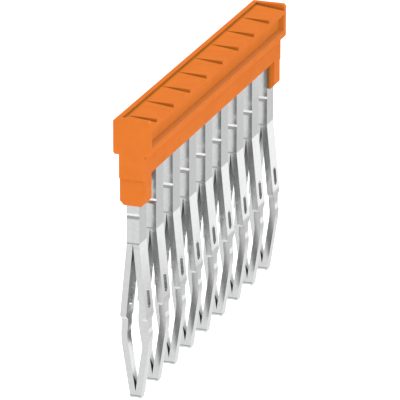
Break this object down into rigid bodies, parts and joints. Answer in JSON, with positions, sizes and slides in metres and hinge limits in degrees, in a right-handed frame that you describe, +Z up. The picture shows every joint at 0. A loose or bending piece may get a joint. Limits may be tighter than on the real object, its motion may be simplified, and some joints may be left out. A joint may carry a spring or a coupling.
{
  "type": "terminal block jumper bar",
  "caption": "Plug-in jumper bar for rail terminal blocks: moulded housing with a finger groove over a row of sprung two-leaf contacts.",
  "frame": {"origin": "middle of the bar's length and of its contact row, in the plane of the moulded body's underside", "axes": "+X along the bar, +Z up from the contacts to the head, -Y the side with the finger groove"},
  "size_m": [0.03, 0.0028, 0.0216],
  "materials": {
    "housing_plastic": "satin",
    "tinned_copper": "satin"
  },
  "bodies": {
    "root": {"housing": "housing_plastic", "contact_strip_front": "tinned_copper", "contact_strip_rear": "tinned_copper"}
  },
  "joints": []
}
